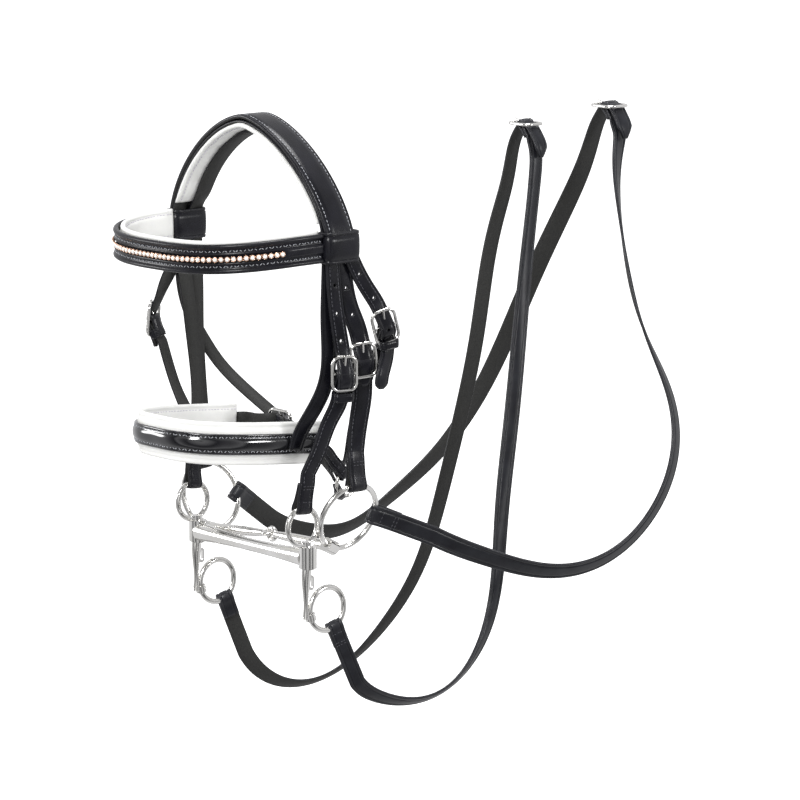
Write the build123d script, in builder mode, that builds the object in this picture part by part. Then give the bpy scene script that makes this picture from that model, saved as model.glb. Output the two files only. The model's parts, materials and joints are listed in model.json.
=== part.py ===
from build123d import *
import os
from math import cos, pi, radians, sin

os.makedirs("parts", exist_ok=True)

# Double bridle. The horse faces -Y, its near (left) side is +X and +Z is up, in millimetres.
# The origin is the middle of the curb bit's mouthpiece.

# ---- Driving dimensions -------------------------------------------------------------------
BILLET_WIDTH = 13.0         # billets, noseband hangers, curb reins
CHEEK_WIDTH = 14.5          # curb cheekpieces
WIDE_STRAP = 16.0           # bradoon cheekpiece, sliphead and bradoon reins
THROAT_WIDTH = 11.0
LEATHER = 2.2               # thickness of every plain strap
CROWN_WIDTH = 27.0
CROWN_LEATHER = 3.0
PAD = 5.0                   # thickness of the soft paddings
LAYER_GAP = 0.3             # air between pieces of leather that lie on each other

LOOP_X, LOOP_Y, LOOP_Z = 90.5, 13.0, 243.0      # middle of a browband loop
LOOP_DEPTH, LOOP_LENGTH, LOOP_HEIGHT, LOOP_WALL = 15.6, 33.0, 24.0, 1.8
CROWN_HALF, CROWN_TOP, CROWN_END = 94.0, 336.0, 243.0
CROWN_POWER = 1.6           # below 2 the arch is more pointed than an ellipse
CROWN_LEAN, CROWN_SKEW = 6.0, 5.0               # forward lean of its top, and of its off end

BROW_HEIGHT, BROW_LEATHER = 22.0, 4.0
BROW_REACH, BROW_SAG = 87.0, 6.0               # how far the browband stands forward, and dips
NOSE_HALF, NOSE_REACH = 57.0, 121.0
NOSE_Y, NOSE_Z, NOSE_RISE = 26.0, 85.5, 11.0    # open ends of the noseband, and rise to the front
NOSE_STRIP, NOSE_PAD_HEIGHT = 16.0, 33.0

MOUTH_HALF = 68.0           # middle of the mouthpiece to the middle of a curb cheek
MOUTH_END_R, MOUTH_MID_R = 7.6, 5.0
UPPER_RING_R, UPPER_WIRE_R = 14.6, 2.2
LOWER_RING_R, LOWER_WIRE_R = 17.0, 2.3
SHANK_FOOT = -48.0
BRADOON_RING_R, BRADOON_WIRE_R = 27.0, 2.2
BRADOON_TILT = 18.0         # a bradoon ring's top leans outwards by this angle

BUCKLE_WIDTH, BUCKLE_HEIGHT, BUCKLE_WIRE = 19.5, 26.0, 1.3
BUCKLE_BAR = 1.15           # radius of the centre bar
TONGUE_R = 0.9
CRYSTAL_R, CRYSTAL_PITCH, CRYSTAL_COUNT = 1.75, 4.7, 49


# ---- Geometry helpers ---------------------------------------------------------------------
def unit(x, y, z=0.0):
    return Vector(x, y, z).normalized()


def facing(azimuth, side=1):
    """Outward level direction of a strap: 90 is straight out to its side, 0 is forwards."""
    return Vector(side * sin(radians(azimuth)), -cos(radians(azimuth)), 0)


def strap_planes(stations, steps=3):
    """Planes square to the smooth line through stations of (point, outer side's direction)."""
    line = Spline(*[point for point, _ in stations])
    marks = [line.param_at_point(Vector(*point)) for point, _ in stations]
    planes = []
    for i in range(len(stations) - 1):
        low, high = stations[i][1], stations[i + 1][1]
        last = steps + 1 if i == len(stations) - 2 else steps
        for k in range(last):
            part = k / steps
            along = marks[i] + (marks[i + 1] - marks[i]) * part
            outer = low * (1 - part) + high * part
            tangent = line.tangent_at(along, position_mode=PositionMode.PARAMETER)
            origin = line.position_at(along, position_mode=PositionMode.PARAMETER)
            planes.append(Plane(origin=origin, x_dir=outer.cross(tangent), z_dir=tangent))
    return planes


def strap_body(stations, width, thick=LEATHER, steps=3):
    """Lofts a flat strap inside the part that is being built."""
    sections = []
    for plane in strap_planes(stations, steps):
        with BuildSketch(plane) as section:
            Rectangle(width, thick)
        sections.append(section.sketch.face())
    loft(sections, ruled=True)


def punch(point, outward, radius=1.5, slot=0.0, along=(0, 0, 1)):
    """Cuts a billet hole, or a slot along the strap, through the part that is being built."""
    with BuildSketch(Plane(origin=point, x_dir=along, z_dir=outward)) as hole:
        if slot:
            SlotOverall(slot, 2 * radius)
        else:
            Circle(radius)
    extrude(hole.sketch, amount=6, both=True, mode=Mode.SUBTRACT)


def rod(plane, radius, amount, both=True, mode=Mode.ADD):
    """A round bar along the plane's normal, in the part that is being built."""
    with BuildSketch(plane) as section:
        Circle(radius)
    extrude(section.sketch, amount=amount, both=both, mode=mode)


def save(piece, name):
    piece.part.label = name
    export_step(piece.part, f"parts/{name}.step")


# ---- Rings, and the sewn folds of leather that hold them ------------------------------------
class Ring:
    """A wire ring. Angle 0 on it is to the rear, 90 is up."""

    def __init__(self, centre, radius, wire, lean=0.0):
        side = 1 if centre[0] > 0 else -1
        normal = (cos(radians(lean)), 0, -side * sin(radians(lean)))
        self.plane = Plane(origin=centre, x_dir=(0, 1, 0), z_dir=normal)
        self.radius, self.wire = radius, wire

    def point(self, angle):
        a = radians(angle)
        return self.plane.from_local_coords(Vector(self.radius * cos(a), self.radius * sin(a), 0))

    def tangent(self, angle):
        a = radians(angle)
        return self.plane.x_dir * -sin(a) + self.plane.y_dir * cos(a)

    def body(self, extra=0.0, mode=Mode.ADD):
        """The ring as a revolved circle, thicker by extra, in the part that is being built."""
        section = Plane(
            origin=self.plane.origin, x_dir=self.plane.x_dir, z_dir=-self.plane.y_dir
        )
        with BuildSketch(section) as wire:
            with Locations((self.radius, 0)):
                Circle(self.wire + extra)
        revolve(wire.sketch, axis=Axis(self.plane.origin, self.plane.z_dir), mode=mode)


class Fold:
    """The end of a strap, turned round a ring's wire and sewn back on itself."""

    def __init__(self, ring, angle, towards, thick=LEATHER, neck=20.0, gap=0.7):
        self.ring, self.thick, self.neck = ring, thick, neck
        self.wire_point = ring.point(angle)
        self.along_wire = ring.tangent(angle)
        pull = Vector(*towards) - self.wire_point
        self.pull = (pull - self.along_wire * pull.dot(self.along_wire)).normalized()
        self.inner = ring.wire + gap
        self.outer = self.inner + thick

    def start(self, outward):
        """The first two stations of the strap, which leaves the fold square to the wire."""
        normal = self.pull.cross(self.along_wire)
        if normal.dot(outward) < 0:
            normal = -normal
        near = self.wire_point + self.pull * self.outer
        far = self.wire_point + self.pull * (self.neck - 1.0)
        return [(near, normal), (far, normal)]

    def body(self, width):
        section = Plane(origin=self.wire_point, x_dir=self.pull, z_dir=self.along_wire)
        with BuildSketch(section) as profile:
            Circle(self.outer)
            Rectangle(self.neck, 2 * self.thick, align=(Align.MIN, Align.CENTER))
        extrude(profile.sketch, amount=width / 2 + 0.2, both=True)
        rod(section, self.inner, width / 2 + 2, mode=Mode.SUBTRACT)

    def clear(self, clearance=0.45):
        """Cuts the ring's room out of the fold and its strap."""
        self.ring.body(extra=clearance, mode=Mode.SUBTRACT)


# ---- Buckles --------------------------------------------------------------------------------
class Buckle:
    """A full buckle with a centre bar. Local x is across the strap, y up it and z outwards."""

    def __init__(self, centre, outward, up=(0, 0, 1), width=BUCKLE_WIDTH, height=BUCKLE_HEIGHT):
        up = Vector(*up)
        outward = (outward - up * outward.dot(up) / up.dot(up)).normalized()
        self.plane = Plane(origin=centre, x_dir=up.cross(outward), z_dir=outward)
        self.width, self.height = width, height
        self.reach = height / 2
        self.under = -(BUCKLE_WIRE + LEATHER / 2 + 1.6 + 0.08 * (BUCKLE_HEIGHT - height))
        self.over = BUCKLE_WIRE + 1.5 * LEATHER + 1.3 + 0.12 * (BUCKLE_HEIGHT - height)

    def at(self, y, z, x=0.0):
        return self.plane.from_local_coords(Vector(x, y, z))

    def out(self):
        return self.plane.z_dir

    def billet(self, tail):
        """Stations of the strap end that comes from above and passes over the centre bar."""
        under, out = self.under, self.out()
        heights = [
            (self.reach + 8, under - 0.3),
            (self.reach, under),
            (0, self.over),
            (-self.reach, under),
            (-self.reach - 6, under - 0.3),
        ]
        points = [self.at(y, z) for y, z in heights]
        points.append(self.at(-self.reach - tail, under + 0.2))
        return [(point, out) for point in points]

    def hanger(self):
        """Stations of the strap below, which is turned round the centre bar."""
        deep = self.under - LEATHER - 2 * LAYER_GAP
        levels = [(-2.6, -1.2), (-self.reach + 2, deep), (-self.reach - 8, deep - 0.4)]
        return [(self.at(y, z), self.out()) for y, z in levels]

    def turn(self, width):
        """The leather round the centre bar, open in the middle for the tongue."""
        section = Plane(origin=self.plane.origin, x_dir=self.plane.y_dir, z_dir=self.plane.x_dir)
        hole = BUCKLE_WIRE + LAYER_GAP
        rod(section, hole + LEATHER, width / 2)
        rod(section, hole, width / 2 + 1, mode=Mode.SUBTRACT)
        rod(section, hole + LEATHER + 2, 2.4, mode=Mode.SUBTRACT)

    def slot(self):
        """The billet's hole that the tongue comes through."""
        punch(self.at(6.0, 0), self.out(), radius=1.7, slot=9.0, along=self.plane.y_dir)

    def frame(self, name):
        with BuildSketch(self.plane) as outline:
            RectangleRounded(self.width, self.height, min(self.width, self.height) * 0.3)
        path = outline.sketch.face().outer_wire()
        with BuildPart() as piece:
            with BuildSketch(Plane(origin=path @ 0, z_dir=path % 0)):
                Circle(BUCKLE_WIRE)
            sweep(path=path)
            bar = Plane(origin=self.plane.origin, z_dir=self.plane.x_dir)
            with BuildSketch(bar):
                Circle(BUCKLE_BAR)
            extrude(amount=self.width / 2 - 0.3, both=True)
        save(piece, name)

    def tongue(self, name):
        section = Plane(origin=self.plane.origin, x_dir=self.plane.y_dir, z_dir=self.plane.x_dir)
        eye_in, eye_out = BUCKLE_BAR + 0.08, BUCKLE_WIRE + 1.0
        top = self.at(self.reach + 1.6, BUCKLE_WIRE + TONGUE_R + 0.9)
        root = self.at(eye_out - 0.3, 0.4)
        with BuildPart() as piece:
            with BuildSketch(section):
                Circle(eye_out)
                Circle(eye_in, mode=Mode.SUBTRACT)
            extrude(amount=1.7, both=True)
            with BuildSketch(Plane(origin=root, z_dir=top - root)):
                Circle(TONGUE_R)
            extrude(amount=(top - root).length)
            with BuildSketch(section):
                Circle(eye_in)
            extrude(amount=4, both=True, mode=Mode.SUBTRACT)
        save(piece, name)


# ---- Places of the main hardware ------------------------------------------------------------
UPPER_RING = {s: Ring((s * MOUTH_HALF, -5, 25), UPPER_RING_R, UPPER_WIRE_R) for s in (1, -1)}
LOWER_RING = {s: Ring((s * MOUTH_HALF, 19, -43), LOWER_RING_R, LOWER_WIRE_R) for s in (1, -1)}
BRADOON_RING = {
    1: Ring((76, 34, 29), BRADOON_RING_R, BRADOON_WIRE_R, BRADOON_TILT),
    -1: Ring((-84, 26, 23), BRADOON_RING_R, BRADOON_WIRE_R, BRADOON_TILT),
}
CHEEK_BUCKLE = Buckle((95, 14.5, 145.5), facing(72))
BRADOON_BUCKLE = Buckle((93, 35.3, 153.5), facing(68), up=(0, -0.12, 1), width=20)
THROAT_BUCKLE = Buckle((97, 54, 178), facing(74), up=(0, -0.3, 1))
OFF_NOSE_BUCKLE = Buckle((-92, -24, 170), facing(62, -1), up=(0, 0.1, 1))
CHIN_BUCKLE = Buckle((-8, 36, 93), Vector(0.15, 0.95, 0.1), up=(-1, -0.15, 0.05), width=16,
                     height=22)
CURB_REIN_BUCKLE = Buckle((0, 288, 309), Vector(0, 0, 1), up=(-1, 0, 0), width=18, height=24)
BRADOON_REIN_BUCKLE = Buckle((0, 382, 317), Vector(0, 0, 1), up=(-1, 0, 0), width=22, height=25)


# ---- Bits -----------------------------------------------------------------------------------
def curb_mouthpiece():
    """Thick at the cheeks and slimmer in the middle, where it bows slightly forwards."""
    with BuildPart() as piece:
        for share in (-1, -0.85, -0.5, 0, 0.5, 0.85, 1):
            radius = MOUTH_MID_R + (MOUTH_END_R - MOUTH_MID_R) * abs(share) ** 2.2
            bow = -2.0 * (1 - share**2)
            with BuildSketch(Plane(origin=(share * (MOUTH_HALF - 3), bow, 0), z_dir=(1, 0, 0))):
                Circle(radius)
        loft()
    save(piece, "curb_mouthpiece")


def curb_cheek(side, name):
    """Fixed cheek: upper ring, boss, shank with a lip-strap eye, and the rein ring's sleeve."""
    x = side * MOUTH_HALF
    shank_y = -2.0
    eye = Plane(origin=(x, shank_y + 4.6, -20), x_dir=(0, 1, 0), z_dir=(1, 0, 0))
    sleeve_angle = 194
    ring = LOWER_RING[side]
    sleeve = Plane(origin=ring.point(sleeve_angle), z_dir=ring.tangent(sleeve_angle))
    with BuildPart() as piece:
        UPPER_RING[side].body()
        with BuildSketch(Plane.XY.offset(-9)) as foot:
            with Locations((x, 0)):
                Circle(5.2)
        extrude(amount=2)
        with BuildSketch(Plane.XY.offset(-8)):
            with Locations((x, 0)):
                Circle(7.0)
        extrude(amount=17)
        with BuildSketch(Plane.XY.offset(8)):
            with Locations((x, -1)):
                Ellipse(4.0, 5.0)
        extrude(amount=5)
        with BuildSketch(Plane.XY.offset(-6)):
            with Locations((x, shank_y + 1)):
                Ellipse(2.8, 4.0)
        with BuildSketch(Plane.XY.offset(-26)):
            with Locations((x, shank_y)):
                Ellipse(2.4, 2.9)
        with BuildSketch(Plane.XY.offset(SHANK_FOOT + 3)):
            with Locations((x, shank_y)):
                Ellipse(2.4, 2.7)
        with BuildSketch(Plane.XY.offset(SHANK_FOOT)):
            with Locations((x, shank_y)):
                Ellipse(2.9, 3.5)
        loft()
        with BuildSketch(eye):
            SlotOverall(12.0, 5.6, rotation=90)
            SlotOverall(8.4, 2.6, rotation=90, mode=Mode.SUBTRACT)
        extrude(amount=1.2, both=True)
        with BuildSketch(sleeve):
            Circle(ring.wire + 1.9)
        extrude(amount=2.8, both=True)
        ring.body(extra=0.35, mode=Mode.SUBTRACT)
    save(piece, name)


def plain_ring(ring, name):
    with BuildPart() as piece:
        ring.body()
    save(piece, name)


BUTT_ANGLE = {1: 243, -1: 250}
MID_JOINT = Vector(0, 18.5, 6.0)


def bradoon_arm(side, name):
    """Half of the jointed mouthpiece: a bored butt on the ring, a tapered arm, a middle loop."""
    ring = BRADOON_RING[side]
    butt = ring.point(BUTT_ANGLE[side])
    along = ring.tangent(BUTT_ANGLE[side])
    inward = (MID_JOINT - butt).normalized()
    reach = (MID_JOINT - butt).length
    eye_r, eye_wire = 4.6, 1.8
    # The near arm's loop stands upright and the off arm's lies flat, linked through each other.
    eye_normal = Vector(0, 1, 0) if side > 0 else Vector(0, 0, 1)
    eye_centre = MID_JOINT - inward * (eye_r / 2)
    with BuildPart() as piece:
        with BuildSketch(Plane(origin=butt, z_dir=along)):
            Circle(5.6)
        extrude(amount=5.5, both=True)
        for share, radius in ((0.02, 4.6), (0.2, 4.3), (0.6, 3.8), (0.92, 2.4)):
            with BuildSketch(Plane(origin=butt + inward * reach * share, z_dir=inward)):
                Circle(radius)
        loft()
        with BuildSketch(Plane(origin=eye_centre, x_dir=inward, z_dir=inward.cross(eye_normal))):
            with Locations((eye_r, 0)):
                Circle(eye_wire)
        revolve(axis=Axis(eye_centre, eye_normal))
        ring.body(extra=0.3, mode=Mode.SUBTRACT)
    save(piece, name)


# ---- Crown, slipheads and browband ----------------------------------------------------------
def even_stations(dense, count, inset=0.0):
    """Picks count stations from a dense row of them, evenly spaced, and moves them inwards."""
    lengths = [0.0]
    for before, after in zip(dense, dense[1:]):
        lengths.append(lengths[-1] + (after[0] - before[0]).length)
    stations = []
    for k in range(count):
        wanted = lengths[-1] * k / (count - 1)
        nearest = min(range(len(dense)), key=lambda i: abs(lengths[i] - wanted))
        point, outward = dense[nearest]
        stations.append((point - outward * inset, outward))
    return stations


def superellipse(half, reach, power, fine=240):
    """Points (across, along) from the +across end over the top to the -across end, and normals."""
    rows = []
    for k in range(fine + 1):
        a = pi * k / fine
        side = 1 if a < pi / 2 else -1
        x = abs(cos(a)) ** (2 / power) * half
        y = abs(sin(a)) ** (2 / power) * reach
        slope = Vector(side * x ** (power - 1) / half**power, y ** (power - 1) / reach**power, 0)
        rows.append((side * x, y, slope.normalized()))
    return rows


def off_skew(x):
    """The off side of the crown and its loop stand further forward than the near side's."""
    return CROWN_SKEW * (1 - x / CROWN_HALF) / 2


def arch(inset, y, count=25):
    """Stations over the poll from the near end to the off end, inset from the crown's line."""
    dense = []
    for across, up, slope in superellipse(CROWN_HALF, CROWN_TOP - CROWN_END, CROWN_POWER):
        forward = off_skew(across) + CROWN_LEAN * up / (CROWN_TOP - CROWN_END)
        dense.append((Vector(across, y - forward, CROWN_END + up), Vector(slope.X, 0, slope.Y)))
    return even_stations(dense, count, inset)


def plain_strap(name, stations, width, thick=LEATHER, buckle=None, steps=3):
    """A flat strap; buckle is the one its billet passes through."""
    with BuildPart() as piece:
        strap_body(stations, width, thick, steps)
        if buckle:
            buckle.slot()
    save(piece, name)


def hung_strap(name, fold, stations, width, outward, buckle=None):
    """A strap with a sewn fold on a ring at its lower end and, perhaps, a buckle at its top."""
    with BuildPart() as piece:
        fold.body(width)
        strap_body(fold.start(outward) + stations, width)
        fold.clear()
        if buckle:
            buckle.turn(width + 0.4)
    save(piece, name)


UNDER_CROWN = CROWN_LEATHER / 2 + LEATHER / 2 + LAYER_GAP
SECOND_LAYER = UNDER_CROWN + LEATHER + 0.6


def crown():
    """The poll strap and its padding, which leaves room for the noseband's strap above it."""
    plain_strap("crown_piece", arch(0, 13), CROWN_WIDTH, CROWN_LEATHER)
    inset = UNDER_CROWN + LEATHER / 2 + LAYER_GAP + PAD / 2
    plain_strap("crown_padding", arch(inset, 12.5)[3:-3], CROWN_WIDTH + 1, PAD, steps=2)


def billets():
    """Strap ends sewn under the crown piece: cheek and throat billets."""
    near = facing(90)
    x = CROWN_HALF - UNDER_CROWN - 0.4
    cheek = [
        (Vector(x, 5.8, 244), near), (Vector(x + 0.6, 5.2, 226), facing(88)),
        (Vector(94, 4.5, 195), facing(80)),
    ]
    throat = [
        (Vector(x, 20.3, 244), near), (Vector(x + 0.6, 20.4, 228), near),
        (Vector(96.5, 30, 210), facing(80)),
    ]
    plain_strap("cheek_billet_near", cheek + CHEEK_BUCKLE.billet(9), BILLET_WIDTH,
                buckle=CHEEK_BUCKLE)
    hanging = THROAT_BUCKLE.billet(14)[:-1]
    hanging += [(Vector(100.8, 49.2, 147), facing(80)), (Vector(101, 46, 131), facing(80))]
    plain_strap("throat_billet_near", throat + hanging, BILLET_WIDTH, buckle=THROAT_BUCKLE)


def bradoon_sliphead():
    """Over the poll under the padding; the near end is a billet, the off end holds the bradoon."""
    inset = UNDER_CROWN + LEATHER / 2 + LAYER_GAP + PAD + LEATHER / 2 + 0.5
    over = arch(inset, 19.5)[2:-2]
    near = [
        (Vector(86.4, 19, 259), facing(90)), (Vector(87.4, 19.3, 246), facing(90)),
        (Vector(87.8, 19.6, 228), facing(88)), (Vector(88.5, 21, 210), facing(84)),
        (Vector(89.5, 26, 190), facing(76)),
    ]
    off = [
        (Vector(-86.8, 14.6, 259), facing(90, -1)), (Vector(-88, 14.6, 246), facing(90, -1)),
        (Vector(-89, 15.5, 226), facing(90, -1)), (Vector(-90, 17, 205), facing(90, -1)),
        (Vector(-89.5, 17, 182), facing(88, -1)), (Vector(-88, 16, 155), facing(86, -1)),
        (Vector(-87, 17, 122), facing(86, -1)), (Vector(-89, 21, 92), facing(88, -1)),
    ]
    fold = Fold(BRADOON_RING[-1], 92, (-89, 22, 84))
    stations = fold.start(facing(90, -1)) + off[::-1] + over[::-1] + near
    with BuildPart() as piece:
        fold.body(WIDE_STRAP - 1)
        strap_body(stations + BRADOON_BUCKLE.billet(8), WIDE_STRAP - 1)
        fold.clear()
        BRADOON_BUCKLE.slot()
    save(piece, "bradoon_sliphead")


def cheekpieces():
    near, off = facing(90), facing(90, -1)
    fold = Fold(UPPER_RING[1], 92, (72, -1, 66))
    path = [(Vector(76, 5, 84), near), (Vector(81, 13, 110), facing(84))]
    top = CHEEK_BUCKLE.hanger()[::-1]
    hung_strap("curb_cheekpiece_near", fold, path + top, CHEEK_WIDTH, near, CHEEK_BUCKLE)

    fold = Fold(UPPER_RING[-1], 88, (-70, -1, 62))
    path = [
        (Vector(-74, 5, 90), off), (Vector(-78, 8, 127), facing(88, -1)),
        (Vector(-80, 5, 160), facing(88, -1)), (Vector(-83, 3, 192), off),
        (Vector(-86.8, 0.4, 226), off), (Vector(-87.6, 0.4, 246), off),
    ]
    hung_strap("curb_cheekpiece_off", fold, path, BILLET_WIDTH, off)

    fold = Fold(BRADOON_RING[1], 88, (80, 38, 110))
    path = [(Vector(83.5, 39, 108), facing(72))]
    top = BRADOON_BUCKLE.hanger()[::-1]
    hung_strap("bradoon_cheekpiece_near", fold, path + top, WIDE_STRAP, near, BRADOON_BUCKLE)


def throatlash():
    """One strap from the off end of the crown, under the jaw, to the near throat buckle."""
    line = [
        (Vector(-94, 9, 240), facing(90, -1)), (Vector(-95, 6, 212), facing(88, -1)),
        (Vector(-94.5, 9, 184), facing(90, -1)), (Vector(-93, 19, 160), facing(90, -1)),
        (Vector(-92, 28, 146), facing(90, -1)), (Vector(-88.5, 36, 132), unit(-0.85, 0.1, -0.4)),
        (Vector(-68, 45, 112), unit(-0.6, 0.3, -0.75)),
        (Vector(-49, 52, 98), unit(-0.5, 0.3, -0.8)), (Vector(-28, 59, 84), unit(-0.4, 0.3, -0.85)),
        (Vector(2, 64, 68), unit(-0.1, 0.4, -0.9)), (Vector(26, 66, 57), unit(0.2, 0.4, -0.9)),
        (Vector(41, 62, 62), unit(0.7, 0.3, -0.6)), (Vector(55, 55, 85), unit(0.85, 0.2, -0.35)),
        (Vector(72, 49, 116), facing(80)), (Vector(84, 47, 140), facing(80)),
    ]
    top = THROAT_BUCKLE.hanger()[1::-1]
    with BuildPart() as piece:
        strap_body(line + top, THROAT_WIDTH)
        THROAT_BUCKLE.turn(THROAT_WIDTH + 0.4)
    save(piece, "throatlash")


def noseband_headstrap():
    """From the near end of the noseband over the poll to the off noseband buckle."""
    near = [
        (Vector(60.5, -6, 84), facing(89)), (Vector(61.5, -4, 94), facing(84)),
        (Vector(68, -2, 105), facing(76)), (Vector(76, 1, 118), facing(76)),
        (Vector(82, 6, 134), facing(76)), (Vector(84.5, 8, 155), facing(80)),
        (Vector(86.5, 5, 185), facing(84)), (Vector(87.3, 4.8, 212), facing(90)),
        (Vector(87.9, 5, 232), facing(90)), (Vector(88.2, 5, 248), facing(90)),
    ]
    off = [
        (Vector(-90.3, 0.3, 246), facing(90, -1)), (Vector(-91.2, 0.1, 232), facing(90, -1)),
        (Vector(-91.6, -6, 206), facing(84, -1)),
    ]
    over = arch(UNDER_CROWN + 0.1, 6.3)[2:-2]
    stations = near + over + off + OFF_NOSE_BUCKLE.billet(9)
    plain_strap("noseband_headstrap", stations, BILLET_WIDTH, buckle=OFF_NOSE_BUCKLE)


# ---- Bands ----------------------------------------------------------------------------------
def band_line(half, reach, back, level, power, inset=0.0, sag=0.0, rise=0.0, skew=0.0,
              count=15):
    """Evenly spaced stations round the face from near to off, moved inwards by inset."""
    dense = []
    for across, forward, slope in superellipse(half, reach, power):
        outward = Vector(slope.X, -slope.Y, 0)
        height = level + rise * forward / reach - sag * (forward / reach) ** 2
        y = back - forward - skew * (1 - across / half) / 2
        dense.append((Vector(across, y, height), outward))
    return even_stations(dense, count, inset)


def browband_line(inset=0.0):
    back = LOOP_Y - LOOP_LENGTH / 2 - 0.4
    return band_line(LOOP_X, BROW_REACH, back, LOOP_Z, 2.7, inset, sag=BROW_SAG, skew=CROWN_SKEW)


def browband_loop(side, name):
    """A leather loop round the straps, closed at the front where the browband starts."""
    x = side * LOOP_X
    with BuildPart() as piece:
        with BuildSketch(Plane.XY.offset(LOOP_Z - LOOP_HEIGHT / 2)):
            with Locations((x, LOOP_Y - off_skew(x))):
                RectangleRounded(LOOP_DEPTH, LOOP_LENGTH, 3.5)
                RectangleRounded(
                    LOOP_DEPTH - 2 * LOOP_WALL, LOOP_LENGTH - 2 * LOOP_WALL, 2, mode=Mode.SUBTRACT
                )
        extrude(amount=LOOP_HEIGHT)
    save(piece, name)


def browband():
    """The raised face and its padding stop just in front of the loops."""
    trim = browband_line()
    plain_strap("browband", trim, BROW_HEIGHT, BROW_LEATHER, steps=1)
    inset = BROW_LEATHER / 2 + PAD / 2 + LAYER_GAP
    soft = [(point + Vector(0, 0, 0.8), outward) for point, outward in browband_line(inset)]
    plain_strap("browband_padding", soft, BROW_HEIGHT + 3, PAD, steps=1)


def crystal_planes():
    """Places along the browband's outer face, evenly spaced about the middle."""
    line = Spline(*[point for point, _ in browband_line(-BROW_LEATHER / 2)])
    total = line.length
    planes = []
    for k in range(CRYSTAL_COUNT):
        along = 0.5 + (k - (CRYSTAL_COUNT - 1) / 2) * CRYSTAL_PITCH / total
        tangent = line % along
        planes.append(Plane(origin=line @ along, x_dir=tangent, z_dir=Vector(0, 0, 1).cross(tangent)))
    return planes


def crystals():
    planes = crystal_planes()
    with BuildPart() as cups:
        for plane in planes:
            with BuildSketch(plane.offset(0.25)):
                Circle(CRYSTAL_R + 0.35)
                Circle(CRYSTAL_R + 0.05, mode=Mode.SUBTRACT)
            extrude(amount=0.9)
    save(cups, "crystal_settings")
    with BuildPart() as gems:
        for plane in planes:
            with BuildSketch(plane.offset(0.3)):
                Circle(CRYSTAL_R)
            extrude(amount=1.3, taper=24)
    save(gems, "crystals")


def noseband_line(inset=0.0):
    return band_line(NOSE_HALF, NOSE_REACH, NOSE_Y, NOSE_Z, 3.2, inset, rise=NOSE_RISE)


def noseband():
    plain_strap("noseband_facing", noseband_line(), NOSE_STRIP, LEATHER, steps=1)
    inset = LEATHER / 2 + (PAD + 1) / 2 + LAYER_GAP
    plain_strap("noseband_padding", noseband_line(inset), NOSE_PAD_HEIGHT, PAD + 1, steps=1)
    off = [
        (Vector(-60.5, -12, 86), facing(89, -1)), (Vector(-62, -13, 96), facing(84, -1)),
        (Vector(-74, -14, 112), facing(74, -1)), (Vector(-83, -14, 128), facing(70, -1)),
        (Vector(-87, -16, 142), facing(66, -1)),
    ]
    top = OFF_NOSE_BUCKLE.hanger()[1::-1]
    with BuildPart() as piece:
        strap_body(off + top, BILLET_WIDTH)
        OFF_NOSE_BUCKLE.turn(BILLET_WIDTH + 0.4)
    save(piece, "noseband_hanger_off")


CHIN_WIDTH = 10.0
CHIN_RING = Ring((57, 48, 50), 9.5, 1.4)


def chin_straps():
    """Crank noseband: a near tab holds a ring, and the strap on it meets the off billet."""
    near, back = facing(90), Vector(0.3, 0.9, -0.1)
    tab = Fold(CHIN_RING, 110, (57, 30, 78), neck=12, gap=0.5)
    path = [
        (Vector(58, 36, 68), near), (Vector(60.2, 24, 82), near), (Vector(60.4, 15, 84), near),
    ]
    with BuildPart() as piece:
        tab.body(CHIN_WIDTH)
        strap_body(tab.start(near)[:1] + path, CHIN_WIDTH)
        tab.clear()
    save(piece, "chin_tab_near")

    fold = Fold(CHIN_RING, 232, (40, 40, 62), neck=9, gap=0.5)
    path = [(Vector(38, 41, 68), back), (Vector(22, 38, 82), back)]
    with BuildPart() as piece:
        fold.body(CHIN_WIDTH)
        strap_body(fold.start(back)[:1] + path + CHIN_BUCKLE.hanger()[::-1], CHIN_WIDTH)
        fold.clear()
        CHIN_BUCKLE.turn(CHIN_WIDTH + 0.4)
    save(piece, "chin_strap_near")
    billet = [
        (Vector(-57, 28, 89), Vector(-1, 0.1, 0)), (Vector(-47, 33.5, 90), Vector(-0.4, 0.9, 0)),
    ]
    plain_strap("chin_billet_off", billet + CHIN_BUCKLE.billet(7)[1:], CHIN_WIDTH,
                buckle=CHIN_BUCKLE)


# ---- Reins ----------------------------------------------------------------------------------
def rein(name, fold, stations, width, buckle=None):
    """One rein from its sewn fold on a bit ring to the buckle in the middle of the pair."""
    side = 1 if fold.wire_point.X > 0 else -1
    with BuildPart() as piece:
        fold.body(width)
        strap_body(fold.start(Vector(side, 0, 0.2)) + stations, width)
        fold.clear()
        if buckle and side > 0:
            buckle.turn(width + 0.4)
        if buckle and side < 0:
            buckle.slot()
    save(piece, name)


def rein_ends(buckle):
    """Stations that bring the near rein to the centre bar, and the off rein over it."""
    middle = buckle.plane.origin
    near = [
        (middle + Vector(12.3, 0, -21), Vector(1, 0, 0)),
        (middle + Vector(7, 0, -8.5), Vector(0.8, 0, 0.6)),
        (buckle.at(-2.6, -1.6), Vector(0.1, 0, 1)),
    ]
    off = [
        (middle + Vector(-17, 0, -18), Vector(-1, 0, 0.2)),
        (buckle.at(buckle.reach, buckle.under - 2.7), Vector(-0.4, 0, 0.9)),
        (buckle.at(0, buckle.over), Vector(0, 0, 1)),
        (buckle.at(-buckle.reach, buckle.under - 2.3), Vector(0.45, 0, 0.9)),
        (middle + Vector(18, 0, -14), Vector(0.95, 0, 0.3)),
        (middle + Vector(19, 0, -26), Vector(1, 0, 0)),
    ]
    return near, off


def out(side, back=0.0, up=0.0):
    return unit(side, back, up)


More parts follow.
